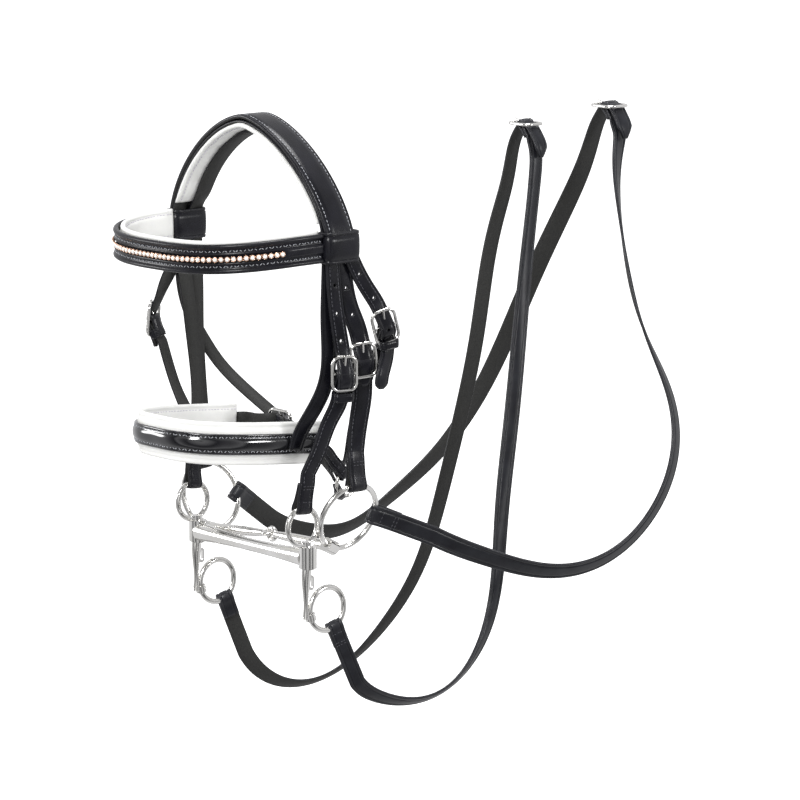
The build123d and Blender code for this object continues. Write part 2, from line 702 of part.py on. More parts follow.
def bradoon_reins():
    near_end, off_end = rein_ends(BRADOON_REIN_BUCKLE)
    near = [
        (Vector(92, 94, 13), out(1, -0.2)), (Vector(106, 155, -16), out(1, -0.3)),
        (Vector(118, 208, -33), out(1, -0.2)), (Vector(126, 262, -29), out(1)),
        (Vector(128, 312, 2), out(1, 0.1)), (Vector(121, 345, 52), out(1, 0.25)),
        (Vector(106, 351, 96), out(1, 0.5)), (Vector(88, 342, 136), out(1, 0.9)),
        (Vector(68, 342, 180), out(0.8, 1)), (Vector(38, 356, 244), out(0.8, 0.6)),
        (Vector(20, 372, 282), out(1, 0.2)),
    ]
    fold = Fold(BRADOON_RING[1], -4, (92, 94, 13), neck=22, gap=1.1)
    rein("bradoon_rein_near", fold, near + near_end, WIDE_STRAP, BRADOON_REIN_BUCKLE)
    off = [
        (Vector(-97, 85, 1), out(-1, -0.2)), (Vector(-101, 134, -23), out(-1, -0.3)),
        (Vector(-108, 187, -31), out(-1, -0.2)), (Vector(-114, 240, -12), out(-1)),
        (Vector(-116, 299, 21), out(-1, 0.1)), (Vector(-110, 336, 64), out(-1, 0.3)),
        (Vector(-96, 352, 108), out(-1, 0.5)), (Vector(-65, 365, 183), out(-0.8, 0.6)),
        (Vector(-36, 380, 250), out(-1, 0.4)), (Vector(-21, 382, 284), out(-1, 0.1)),
    ]
    fold = Fold(BRADOON_RING[-1], -3, (-97, 85, 1), neck=22, gap=1.1)
    rein("bradoon_rein_off", fold, off + off_end, WIDE_STRAP, BRADOON_REIN_BUCKLE)


def curb_reins():
    near_end, off_end = rein_ends(CURB_REIN_BUCKLE)
    near = [
        (Vector(70, 36, -86), out(1)), (Vector(69, 57, -114), out(1)),
        (Vector(68, 94, -130), out(1)), (Vector(66, 138, -131), out(1)),
        (Vector(62, 174, -113), out(1)), (Vector(57, 200, -81), out(1)),
        (Vector(46, 221, -3), out(1, 0.2)), (Vector(37, 239, 67), out(1, 0.3)),
        (Vector(27, 258, 145), out(1, 0.4)), (Vector(17, 280, 242), out(1, 0.2)),
        (Vector(14, 287, 276), out(1, 0)),
    ]
    fold = Fold(LOWER_RING[1], -62, (70, 36, -86), neck=18, gap=0.7)
    rein("curb_rein_near", fold, near + near_end, BILLET_WIDTH, CURB_REIN_BUCKLE)
    off = [
        (Vector(-70, 45, -103), out(-1)), (Vector(-70, 75, -134), out(-1)),
        (Vector(-69, 105, -143), out(-1)), (Vector(-67, 146, -136), out(-1)),
        (Vector(-62, 185, -108), out(-1)), (Vector(-55, 219, -64), out(-1)),
        (Vector(-46, 237, -3), out(-1, 0.2)), (Vector(-38, 251, 63), out(-1, 0.3)),
        (Vector(-29, 263, 138), out(-1, 0.4)), (Vector(-18, 279, 245), out(-1, 0.2)),
        (Vector(-14, 286, 276), out(-1, 0)),
    ]
    fold = Fold(LOWER_RING[-1], -62, (-70, 38, -90), neck=18, gap=0.7)
    rein("curb_rein_off", fold, off + off_end, BILLET_WIDTH, CURB_REIN_BUCKLE)


crown()
billets()
bradoon_sliphead()
cheekpieces()
throatlash()
browband()
crystals()
noseband_headstrap()
noseband()
chin_straps()
bradoon_reins()
curb_reins()
plain_ring(CHIN_RING, "chin_ring")
curb_mouthpiece()
for side, end in ((1, "near"), (-1, "off")):
    curb_cheek(side, f"curb_cheek_{end}")
    plain_ring(LOWER_RING[side], f"curb_rein_ring_{end}")
    plain_ring(BRADOON_RING[side], f"bradoon_ring_{end}")
    bradoon_arm(side, f"bradoon_arm_{end}")
    browband_loop(side, f"browband_loop_{end}")
for buckle, end in (
    (CHEEK_BUCKLE, "cheek_near"), (BRADOON_BUCKLE, "bradoon_near"), (THROAT_BUCKLE, "throat_near"),
    (OFF_NOSE_BUCKLE, "noseband_off"), (CHIN_BUCKLE, "chin"),
    (CURB_REIN_BUCKLE, "curb_reins"), (BRADOON_REIN_BUCKLE, "bradoon_reins"),
):
    buckle.frame(f"buckle_{end}")
    buckle.tongue(f"tongue_{end}")
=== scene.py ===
"""Looks of the double bridle: leather straps with creases, stitches and flesh sides, soft white
paddings, polished metal and faceted crystals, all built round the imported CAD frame."""

import json
from math import cos, pi, radians, sin

import bmesh
import bpy
import numpy as np
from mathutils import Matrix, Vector


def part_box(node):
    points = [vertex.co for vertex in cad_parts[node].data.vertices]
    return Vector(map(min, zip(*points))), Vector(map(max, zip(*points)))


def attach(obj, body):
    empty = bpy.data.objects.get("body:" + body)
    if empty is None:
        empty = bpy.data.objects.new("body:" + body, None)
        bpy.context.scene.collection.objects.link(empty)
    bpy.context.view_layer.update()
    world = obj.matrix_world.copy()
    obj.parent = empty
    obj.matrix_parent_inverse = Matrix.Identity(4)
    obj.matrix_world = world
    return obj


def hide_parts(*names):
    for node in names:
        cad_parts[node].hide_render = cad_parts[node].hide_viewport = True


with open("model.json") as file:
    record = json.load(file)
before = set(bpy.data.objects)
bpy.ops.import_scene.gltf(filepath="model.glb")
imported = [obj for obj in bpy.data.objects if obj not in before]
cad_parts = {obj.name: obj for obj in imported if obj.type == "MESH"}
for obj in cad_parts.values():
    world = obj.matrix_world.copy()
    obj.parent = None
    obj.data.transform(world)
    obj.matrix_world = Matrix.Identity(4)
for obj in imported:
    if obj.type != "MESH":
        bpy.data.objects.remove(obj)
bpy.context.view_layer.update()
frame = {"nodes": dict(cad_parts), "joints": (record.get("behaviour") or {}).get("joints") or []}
JOINTS = {joint["name"]: joint for joint in frame["joints"]}

# ---- Driving dimensions, in metres ----------------------------------------------------------
MM = 0.001
LEATHER = 2.2 * MM                # thickness of a plain strap
BILLET = 13.0 * MM                # widths of the straps, by their use
CHEEK = 14.5 * MM
WIDE = 16.0 * MM
SLIP = 15.0 * MM
THROAT = 11.0 * MM
CHIN = 10.0 * MM
CROWN = 27.0 * MM
CROWN_THICK = 3.0 * MM
CREASE = 1.7 * MM                 # from a strap's edge to the crease along it
REIN_CREASE = 3.0 * MM
WIRE_PLAY = 0.5 * MM              # between a ring's wire and the leather round it
BAR_REACH = 1.5 * MM + LEATHER / 2    # from a buckle's bar to the middle of the leather round it
STEP = 2.5 * MM                   # length of one mesh cell along a strap
STITCH_PITCH = 3.3 * MM
STITCH_LENGTH = 2.3 * MM
STITCH_THICK = 0.33 * MM
ZIGZAG = 0.75                     # sideways slant of a zigzag stitch, for each unit along
ZIGZAG_PITCH = 2.7 * MM
SEAM_ROWS = (("upper", 0.93), ("middle", 0.8), ("lower", 0.3))   # shares of a sewn lap
HEAD_AXIS = np.array([0.0, 0.02, 0.0])
VIEW_BACK = (0.743, -0.646, 0.174)    # from the object towards the camera


# ---- Node materials -------------------------------------------------------------------------
class Material:
    """A Principled material with short ways to add procedural colour, roughness and bump."""

    def __init__(self, name, **inputs):
        self.name = name
        self.data = bpy.data.materials.new(f"made_{name}")
        self.data.use_nodes = True
        self.tree = self.data.node_tree
        self.shader = self.tree.nodes["Principled BSDF"]
        for key, value in inputs.items():
            self.shader.inputs[key.replace("_", " ")].default_value = value
        self.place = self.tree.nodes.new("ShaderNodeTexCoord").outputs["Object"]
        self.height = None

    def node(self, kind, **values):
        node = self.tree.nodes.new(kind)
        for key, value in values.items():
            if key in node.inputs:
                node.inputs[key].default_value = value
            else:
                setattr(node, key, value)
        return node

    def link(self, source, target):
        self.tree.links.new(source, target)

    def noise(self, scale, detail=4.0, distortion=0.0):
        node = self.node("ShaderNodeTexNoise", Scale=scale, Detail=detail, Distortion=distortion)
        self.link(self.place, node.inputs["Vector"])
        return node.outputs["Fac"]

    def cells(self, scale):
        node = self.node("ShaderNodeTexVoronoi", feature="DISTANCE_TO_EDGE", Scale=scale)
        self.link(self.place, node.inputs["Vector"])
        return node.outputs["Distance"]

    def ramp(self, source, low, high, start=0.3, end=0.7):
        node = self.node("ShaderNodeValToRGB")
        node.color_ramp.elements[0].color = (*low, 1)
        node.color_ramp.elements[1].color = (*high, 1)
        node.color_ramp.elements[0].position = start
        node.color_ramp.elements[1].position = end
        self.link(source, node.inputs["Fac"])
        return node.outputs["Color"]

    def vary_color(self, source, low, high):
        self.link(self.ramp(source, low, high), self.shader.inputs["Base Color"])
        return self

    def vary_roughness(self, source, low, high):
        node = self.node("ShaderNodeMapRange")
        node.inputs["To Min"].default_value = low
        node.inputs["To Max"].default_value = high
        self.link(source, node.inputs["Value"])
        self.link(node.outputs["Result"], self.shader.inputs["Roughness"])
        return self

    def bump(self, source, distance, strength=1.0):
        node = self.node("ShaderNodeBump", Strength=strength, Distance=distance)
        self.link(source, node.inputs["Height"])
        if self.height is not None:
            self.link(self.height, node.inputs["Normal"])
        self.height = node.outputs["Normal"]
        self.link(self.height, self.shader.inputs["Normal"])
        return self


def wear(material, amount=0.012):
    """Lightens worn edges a little, by the curvature of the mesh."""
    pointiness = material.node("ShaderNodeNewGeometry").outputs["Pointiness"]
    ramp = material.ramp(pointiness, (0, 0, 0), (amount, amount, amount), 0.52, 0.6)
    mix = material.node("ShaderNodeMix", data_type="RGBA", blend_type="ADD")
    mix.inputs[0].default_value = 1.0
    base = material.shader.inputs["Base Color"]
    if base.is_linked:
        material.link(base.links[0].from_socket, mix.inputs[6])
    else:
        mix.inputs[6].default_value = base.default_value
    material.link(ramp, mix.inputs[7])
    material.link(mix.outputs[2], base)
    return material


def make_materials():
    grain = Material("leather_grain", Specular_IOR_Level=0.30)
    grain.vary_color(grain.noise(55), (0.004, 0.004, 0.006), (0.009, 0.009, 0.013))
    grain.vary_roughness(grain.noise(160), 0.20, 0.33)
    grain.bump(grain.cells(1500), 0.00006, 0.5).bump(grain.noise(120), 0.0002, 0.35)
    wear(grain)

    rein = Material("leather_rein", Specular_IOR_Level=0.34)
    rein.vary_color(rein.noise(70), (0.006, 0.006, 0.009), (0.013, 0.014, 0.018))
    rein.vary_roughness(rein.noise(200), 0.28, 0.42)
    rein.bump(rein.cells(1100), 0.0001, 0.55).bump(rein.noise(90), 0.0002, 0.3)
    wear(rein)

    flesh = Material("leather_flesh", Roughness=0.6, Specular_IOR_Level=0.3)
    flesh.vary_color(flesh.noise(1400, 6), (0.014, 0.014, 0.014), (0.034, 0.034, 0.032))
    flesh.bump(flesh.cells(1300), 0.00015, 0.7).bump(flesh.noise(1500, 4), 0.0001, 0.5)

    patent = Material("patent_leather", Base_Color=(0.008, 0.008, 0.01, 1), Roughness=0.16,
                      Coat_Weight=1.0, Coat_Roughness=0.05)
    patent.bump(patent.noise(90), 0.0003, 0.35)
    wear(patent, 0.006)

    white = Material("white_leather", Roughness=0.5, Subsurface_Weight=0.06,
                     Subsurface_Radius=(0.004, 0.004, 0.003))
    white.vary_color(white.noise(40), (0.69, 0.69, 0.675), (0.76, 0.76, 0.745))
    white.bump(white.cells(1300), 0.0001, 0.4).bump(white.noise(110, 3, 0.6), 0.0006, 0.35)

    steel = Material("polished_steel", Metallic=1.0)
    steel.vary_color(steel.noise(45), (0.80, 0.79, 0.75), (0.92, 0.91, 0.89))
    steel.vary_roughness(steel.noise(60, 4), 0.12, 0.2)
    steel.bump(steel.noise(60, 2), 0.00002, 0.15)

    rose = Material("rose_gold", Roughness=0.2, Metallic=1.0)
    rose.vary_color(rose.noise(900), (0.66, 0.36, 0.22), (0.90, 0.62, 0.46))

    crystal = Material("crystal", Roughness=0.03, Transmission_Weight=0.15, IOR=2.1)
    crystal.vary_color(crystal.noise(500), (0.95, 0.90, 0.84), (1.0, 1.0, 1.0))

    made = [grain, rein, flesh, patent, white, steel, rose, crystal]
    for name, roughness, low, high in (
        ("thread_grey", 0.6, (0.20, 0.21, 0.23), (0.42, 0.43, 0.46)),
        ("thread_pale", 0.65, (0.42, 0.40, 0.47), (0.62, 0.60, 0.66)),
        ("thread_dark", 0.5, (0.035, 0.035, 0.042), (0.075, 0.075, 0.09)),
    ):
        thread = Material(name, Roughness=roughness)
        thread.vary_color(thread.noise(900), low, high)
        thread.bump(thread.cells(5000), 0.0001, 0.6)
        made.append(thread)
    return {material.name: material.data for material in made}


MATERIALS = make_materials()


# ---- Reading a strap's run out of its CAD solid ---------------------------------------------
CLOSE = 0.02 * MM                 # how well lengths in a section agree


def unit(v):
    return v / max(np.linalg.norm(v), 1e-12)


def away_from_head(points):
    """Level directions from the middle of the head to points."""
    return (points - HEAD_AXIS) * [1, 1, 0]


def corners(node):
    """Distinct vertices of a CAD node, and which pairs of them an edge joins."""
    mesh = frame["nodes"][node].data
    raw = np.empty(len(mesh.vertices) * 3, np.float32)
    mesh.vertices.foreach_get("co", raw)
    same = 0.004 * MM
    keys = np.round(raw.reshape(-1, 3) / same).astype(int)
    _, first, index = np.unique(keys, axis=0, return_index=True, return_inverse=True)
    index = index.reshape(-1)
    pairs = np.empty(len(mesh.edges) * 2, int)
    mesh.edges.foreach_get("vertices", pairs)
    edges = np.unique(np.sort(index[pairs.reshape(-1, 2)], axis=1), axis=0)
    return raw.reshape(-1, 3).astype(float)[first], edges[edges[:, 0] != edges[:, 1]]


def cross_sections(node, width, thick):
    """Rectangular sections of a strap solid: centre, width direction, thickness direction."""
    points, edges = corners(node)
    span = points[edges[:, 1]] - points[edges[:, 0]]
    rungs = edges[np.abs(np.linalg.norm(span, axis=1) - thick) < CLOSE]
    found = {}
    for i, (a, b) in enumerate(rungs):
        for c, d in rungs[i + 1:]:
            if abs(np.linalg.norm(points[c] - points[a]) - width) > 0.4 * width:
                continue
            if np.linalg.norm(points[c] - points[a]) > np.linalg.norm(points[d] - points[a]):
                c, d = d, c
            across = points[c] - points[a]
            if abs(np.linalg.norm(across) - width) > CLOSE:
                continue
            if np.linalg.norm(points[d] - points[b] - across) > 1.5 * CLOSE:
                continue
            if abs(unit(across) @ unit(points[b] - points[a])) > 0.01:
                continue
            centre = (points[a] + points[b] + points[c] + points[d]) / 4
            found[tuple(np.round(centre / (0.05 * MM)).astype(int))] = (
                centre, unit(across), unit(points[b] - points[a]))
    return list(found.values())


def longest_run(centres):
    """Order of the centres along the strap: the longest path of their spanning tree."""
    count = len(centres)
    far = np.linalg.norm(centres[:, None] - centres[None], axis=2)
    tree = {0: []}
    best = {i: (far[0, i], 0) for i in range(1, count)}
    while best:
        i = min(best, key=lambda k: best[k][0])
        _, parent = best.pop(i)
        tree[i] = [parent]
        tree[parent].append(i)
        for k in best:
            if far[i, k] < best[k][0]:
                best[k] = (far[i, k], i)

    def farthest(start):
        reached, stack, last = {start: (0.0, None)}, [start], start
        while stack:
            i = stack.pop()
            for k in tree[i]:
                if k not in reached:
                    reached[k] = (reached[i][0] + far[i, k], i)
                    stack.append(k)
                    if reached[k][0] > reached[last][0]:
                        last = k
        return last, reached

    start, _ = farthest(0)
    end, reached = farthest(start)
    order = [end]
    while reached[order[-1]][1] is not None:
        order.append(reached[order[-1]][1])
    return order


class Run:
    """A smooth line along a strap, with its outward direction; distances start at its lower end."""

    def __init__(self, points, outward):
        self.points, self.outward = np.array(points), np.array(outward)
        gaps = np.linalg.norm(np.diff(self.points, axis=0), axis=1)
        self.marks = np.concatenate([[0.0], np.cumsum(gaps)])
        self.length = self.marks[-1]

    def resampled(self, step=STEP):
        """The same line as a Catmull-Rom curve with even cells."""
        count = max(4, int(round(self.length / step)))
        return Run(*self.at(np.linspace(0, self.length, count + 1)))

    def smoothed(self, reach, start=0.0, end=0.0):
        """The same line with bends shorter than reach taken out between its two kept ends."""
        cell = 2 * MM
        even = self.resampled(cell)
        low, high = even.marks < start, even.marks > even.length - end
        if low.any() or high.any():
            between = ~(low | high)
            middle = Run(even.points[between], even.outward[between]).smoothed(reach)
            return Run(np.concatenate([even.points[low], middle.points, even.points[high]]),
                       np.concatenate([even.outward[low], middle.outward, even.outward[high]]))
        points, outward = even.points.copy(), even.outward.copy()
        for _ in range(int((reach / cell) ** 2)):
            points[1:-1] += 0.25 * (points[:-2] - 2 * points[1:-1] + points[2:])
            outward[1:-1] += 0.25 * (outward[:-2] - 2 * outward[1:-1] + outward[2:])
        return Run(points, outward / np.linalg.norm(outward, axis=1)[:, None])

    def rolled(self, degrees, middle, spread):
        """The same line, its strap rolled about it, most at the distance middle."""
        turn = np.radians(degrees) * np.exp(-((self.marks - middle) / spread) ** 2)[:, None]
        _, across, outward = self.frames()
        return Run(self.points, outward * np.cos(turn) + across * np.sin(turn))

    def reversed(self):
        return Run(self.points[::-1], self.outward[::-1])

    def starts_at(self, point):
        """Whether its start is nearer to a point than its end is."""
        gap = np.linalg.norm(self.points[[0, -1]] - point, axis=1)
        return gap[0] < gap[1]

    def lowest(self):
        """Distance along the line to its lowest point."""
        return self.marks[np.argmin(self.points[:, 2])]

    def nearest(self, point):
        """Distance along the line to where it passes a point."""
        return self.marks[np.argmin(np.linalg.norm(self.points - point, axis=1))]

    def bulged(self, distance, height, spread=5 * MM):
        """The same line, standing out over a buckle's bar."""
        bulge = height * np.exp(-((self.marks - distance) / spread) ** 2)
        return Run(self.points + self.outward * bulge[:, None], self.outward)

    def at(self, distance):
        """Points and outward directions at an array of distances from the start."""
        distance = np.clip(np.atleast_1d(distance), 0, self.length)
        i = np.clip(np.searchsorted(self.marks, distance) - 1, 0, len(self.points) - 2)
        share = ((distance - self.marks[i]) / np.diff(self.marks)[i])[:, None]
        values = []
        for rows in (self.points, self.outward):
            before, after = rows[np.maximum(i - 1, 0)], rows[np.minimum(i + 2, len(rows) - 1)]
            low, high = rows[i], rows[i + 1]
            values.append(0.5 * (2 * low + (high - before) * share
                                 + (2 * before - 5 * low + 4 * high - after) * share**2
                                 + (3 * low - before - 3 * high + after) * share**3))
        return values[0], values[1] / np.linalg.norm(values[1], axis=1)[:, None]

    def frames(self):
        """Tangent, across and outward directions at every point."""
        tangent = np.gradient(self.points, axis=0)
        tangent /= np.linalg.norm(tangent, axis=1)[:, None]
        across = np.cross(self.outward, tangent)
        across /= np.linalg.norm(across, axis=1)[:, None]
        return tangent, across, np.cross(tangent, across)


def trace(node, width, thick=LEATHER):
    """The run of a strap solid, from its lower end, with the outward side away from the head."""
    rows = cross_sections(node, width, thick)
    centres = np.array([row[0] for row in rows])
    order = longest_run(centres)
    if centres[order[0]][2] > centres[order[-1]][2]:
        order = order[::-1]
    outward = [rows[order[0]][2]]
    for i in order[1:]:
        # A strap may twist but never turns over between two sections.
        normal = rows[i][2]
        outward.append(normal if normal @ outward[-1] > 0 else -normal)
    outward = np.array(outward)
    if np.sum(outward * away_from_head(centres[order])) < 0:
        outward = -outward
    return Run(centres[order], outward)


def joined(*parts):
    """One run out of lists of (point, outward)."""
    points = [point for part in parts for point, _ in part]
    outward = [direction for part in parts for _, direction in part]
    return Run(points, outward)


def rows_of(run):
    """Pairs of a point and its outward direction."""
    return list(zip(run.points, run.outward))


def fold_back(run, wire, reach, tail, at_start=True, aim=0.0):
    """Lengthens a run so that it turns round a wire at one end and lies back under itself.
    The strap leaves the wire straight towards its own line at the distance aim."""
    gap, steps = 0.15 * MM, 7
    aim = max(aim, tail)
    rows = rows_of(run if at_start else run.reversed())
    first, outward = next(row for row in rows if np.linalg.norm(row[0] - wire) > aim)
    pull = unit(first - wire)
    outward = unit(outward - pull * (outward @ pull))
    half = LEATHER / 2 + gap
    inner, outer = [], []
    for share in (1.0, 0.75, 0.5, 0.3):
        offset = half + (reach - half) * (1 - share) ** 2 * 0.7
        inner.append((wire + pull * tail * share - outward * offset, -outward))
        outer.append((wire + pull * tail * share + outward * offset, outward))
    turn = []
    for k in range(steps):
        a = pi * (k + 0.5) / steps
        direction = -outward * cos(a) - pull * sin(a)
        turn.append((wire + direction * reach, direction))
    beyond = next(i for i, row in enumerate(rows) if (row[0] - wire) @ pull > aim + 4 * MM)
    made = joined(inner, turn, outer[::-1], rows[beyond:])
    return made if at_start else made.reversed()


class Ring:
    """A wire ring: its centre, axis, radius to the middle of the wire, and the wire's radius."""

    def __init__(self, centre, axis, radius, wire):
        self.centre, self.axis, self.radius, self.wire = centre, axis, radius, wire
        # From the middle of the wire to the middle of the leather folded round it.
        self.reach = wire + WIRE_PLAY + LEATHER / 2


def ring_of(name, side=""):
    """A bit ring or the chin ring, from its joint and its CAD corners."""
    joint = JOINTS[f"{name}_turn{side}"]
    centre = np.array(joint["pos_m"])
    axis = unit(np.array(joint["axis"], float))
    points, _ = corners(name + side)
    away = points - centre
    radial = np.linalg.norm(away - np.outer(away @ axis, axis), axis=1)
    wire = (radial.max() - radial.min()) / 2
    return Ring(centre, axis, radial.max() - wire, wire)


def wire_point(ring, node):
    """Where on a ring's wire a strap's fold goes round it, from the fold's own corners."""
    points, _ = corners(node)
    flat = points - ring.centre
    flat -= np.outer(flat @ ring.axis, ring.axis)
    on_wire = ring.centre + ring.radius * flat / np.linalg.norm(flat, axis=1)[:, None]
    near = np.linalg.norm(points - on_wire, axis=1) < ring.wire + LEATHER + 1.6 * MM
    middle = on_wire[near].mean(0) - ring.centre
    return ring.centre + unit(middle - ring.axis * (middle @ ring.axis)) * ring.radius


# ---- Meshes ---------------------------------------------------------------------------------
def add_mesh(name, points, faces, materials, kinds=None, smooth=True):
    mesh = bpy.data.meshes.new(name)
    mesh.from_pydata([tuple(point) for point in points], [], faces)
    for material in materials:
        mesh.materials.append(MATERIALS[material])
    if kinds is not None:
        mesh.polygons.foreach_set("material_index", kinds)
    mesh.polygons.foreach_set("use_smooth", [smooth] * len(mesh.polygons))
    mesh.update()
    obj = bpy.data.objects.new(name, mesh)
    bpy.context.scene.collection.objects.link(obj)
    return obj


def fit(obj, node=None, body="headstall"):
    """Puts a mesh on its body, in place of the CAD node that it shows."""
    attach(obj, body)
    if node:
        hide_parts(node)


def tube_faces(first, rings, size, closed=False):
    """Quads between rings of points that follow each other from the point numbered first."""
    faces = []
    for i in range(rings if closed else rings - 1):
        low = first + i * size
        high = first + (i + 1) % rings * size
        for k in range(size):
            n = (k + 1) % size
            faces.append((low + k, low + n, high + n, high + k))
    return faces


def squared(value, power):
    """A sine or cosine pushed towards its limits, so that an ellipse becomes a rounded box."""
    return np.sign(value) * abs(value) ** power


def sweep(name, run, profile, materials, kinds, tips=("square", "square"), width=0.02):
    """Sweeps closed profiles along a run. profile(distance) gives (across, out) rows;
    kinds gives each profile edge's material. A tip is square, round or pointed."""
    _, across, outward = run.frames()
    points, count = [], len(run.points)
    for i in range(count):
        rows = np.array(profile(run.marks[i]))
        narrow = 1.0
        for tip, left in ((tips[0], run.marks[i]), (tips[1], run.length - run.marks[i])):
            if tip == "pointed":
                narrow = min(narrow, 0.25 + 0.75 * min(1.0, left / (width * 0.62)))
            if tip == "round":
                edge = min(1.0, left / (width * 0.42))
                narrow = min(narrow, max(0.35, (1 - (1 - edge) ** 2) ** 0.5))
        points.append(run.points[i] + np.outer(rows[:, 0] * narrow, across[i])
                      + np.outer(rows[:, 1], outward[i]))
    size = len(points[0])
    faces = tube_faces(0, count, size)
    faces.append(tuple(range(size))[::-1])
    faces.append(tuple((count - 1) * size + k for k in range(size)))
    cut_end = len(materials) - 1
    every_kind = list(kinds) * (count - 1) + [cut_end] * 2
    return add_mesh(name, np.concatenate(points), faces, materials, every_kind)


def strap_profile(width, thick, crease=CREASE, raised=0.25 * MM):
    """A strap's section: rounded edges, a crease along each edge, a slightly domed middle."""
    half, top = width / 2, thick / 2
    right = [
        (half - 0.1 * MM, -top * 0.45), (half, 0), (half - 0.15 * MM, top * 0.6),
        (half - 0.6 * MM, top), (half - crease + 0.45 * MM, top + 0.05 * MM),
        (half - crease + 0.2 * MM, top - 0.4 * MM), (half - crease - 0.2 * MM, top - 0.4 * MM),
        (half - crease - 0.5 * MM, top + 0.1 * MM), (half * 0.4, top + raised * 0.85),
    ]
    outline = right + [(0, top + raised)] + [(-x, z) for x, z in right[::-1]]
    outline += [(-half + 0.5 * MM, -top), (0, -top), (half - 0.5 * MM, -top)]
    kinds = [0] * (len(outline) - 5) + [0, 1, 1, 1, 0]
    return outline, kinds


def strap(name, run, width, node, thick=LEATHER, tips=("square", "square"), body="headstall",
          leather="leather_grain"):
    """A flat strap with creased edges that stands for its CAD node."""
    crease = REIN_CREASE if leather == "leather_rein" else CREASE
    outline, kinds = strap_profile(width, thick, crease)
    run = run.resampled()
    obj = sweep(name, run, lambda distance: outline, (leather, "leather_flesh"), kinds, tips,
                width)
    fit(obj, node, body)
    return run


def stitches(name, run, offsets, start, end, body="headstall", height=LEATHER / 2 + 0.12 * MM,
             thread="thread_grey", zigzag=0.0, pitch=STITCH_PITCH, side=1):
    """Rows of real stitches along a run, each a small rounded bead sunk into the leather."""
    even = run.resampled(1.0 * MM)
    tangent, across, outward = even.frames()
    last = len(even.points) - 1
    sides = 6
    ring = [(cos(2 * pi * k / sides), sin(2 * pi * k / sides)) for k in range(sides)]
    bead = ((-1, 0.25), (-0.8, 0.8), (0, 1.0), (0.8, 0.8), (1, 0.25))
    half = min(STITCH_LENGTH, pitch * 0.7) / 2
    points, faces = [], []
    for offset in offsets:
        for n, distance in enumerate(np.arange(start, end, pitch)):
            i = min(int(distance / even.length * last + 0.5), last)
            slant = zigzag * (1 if n % 2 else -1)
            along = unit(tangent[i] + across[i] * slant)
            beside = np.cross(outward[i], along)
            middle = even.points[i] + across[i] * offset + outward[i] * height * side
            faces += tube_faces(len(points), len(bead), sides)
            for share, size in bead:
                sunk = 0.25 * abs(share)
                for x, z in ring:
                    points.append(middle + along * share * half
                                  + beside * x * STITCH_THICK * size
                                  + outward[i] * side * (z * size - sunk) * STITCH_THICK)
    if not faces:
        return
    obj = add_mesh(name, points, faces, (thread,))
    fit(obj, body=body)


def edge_stitches(name, run, width, start, end):
    """Dark seams just inside both edges of a doubled strap."""
    edge = width / 2 - 2.9 * MM
    stitches(f"{name}_edge_stitches", run, (-edge, edge), start, run.length - end,
             height=LEATHER / 2 + 0.22 * MM, thread="thread_dark")


def cross_stitches(name, run, distance, width, body="headstall"):
    """A row of stitches across a strap, where a fold is sewn down."""
    count = 4
    (point,), (outward,) = run.at(distance)
    (before,), _ = run.at(distance - 2 * MM)
    across = unit(np.cross(outward, unit(point - before)))
    half = width / 2 - 2.2 * MM
    row = Run([point - across * half, point, point + across * half], [outward] * 3)
    stitches(name, row, (0,), 0, 2 * half, body, height=LEATHER / 2 + 0.3 * MM,
             pitch=2 * half / count, thread="thread_dark")


def lap_stitches(name, run, ring, tail, width, body="headstall"):
    """The rows that sew down a fold round a ring; gives the distance to the middle of the lap."""
    lap = tail + pi * ring.reach
    for row, share in SEAM_ROWS:
        cross_stitches(f"{name}_{row}_stitches", run, lap + tail * share, width, body)
    return lap


def zigzag_stitches(name, run, edge, height):
    """A zigzag row on both sides of a band's middle."""
    stitches(name, run, (-edge, edge), 3 * MM, run.length - 3 * MM, height=height,
             zigzag=ZIGZAG, pitch=ZIGZAG_PITCH)


def pad_stitches(name, run, edge, height, margin=3 * MM):
    """Pale seams along both edges of a padding's inner face."""
    stitches(name, run, (-edge, edge), margin, run.length - margin, height=height,
             thread="thread_pale", side=-1)


def punch_holes(name, run, distances):
    """Real billet holes, cut through a strap at distances from its upper end."""
    radius, depth = 1.25 * MM, 8 * MM
    strap_object = bpy.data.objects[name]
    points, outward = run.at(run.length - np.array(distances))
    cutter = bmesh.new()
    for point, direction in zip(points, outward):
        turn = Vector(direction).to_track_quat("Z", "Y").to_matrix().to_4x4()
        turn.translation = Vector(point)
        bmesh.ops.create_cone(cutter, cap_ends=True, segments=20, radius1=radius,
                              radius2=radius, depth=depth, matrix=turn)
    mesh = bpy.data.meshes.new("cutter")
    cutter.to_mesh(mesh)
    cutter.free()
    tool = bpy.data.objects.new("cutter", mesh)
    bpy.context.scene.collection.objects.link(tool)
    modifier = strap_object.modifiers.new("holes", "BOOLEAN")
    modifier.object, modifier.operation, modifier.solver = tool, "DIFFERENCE", "EXACT"
    graph = bpy.context.evaluated_depsgraph_get()
    cut = bpy.data.meshes.new_from_object(strap_object.evaluated_get(graph))
    strap_object.modifiers.clear()
    strap_object.data = cut
    bpy.data.objects.remove(tool)


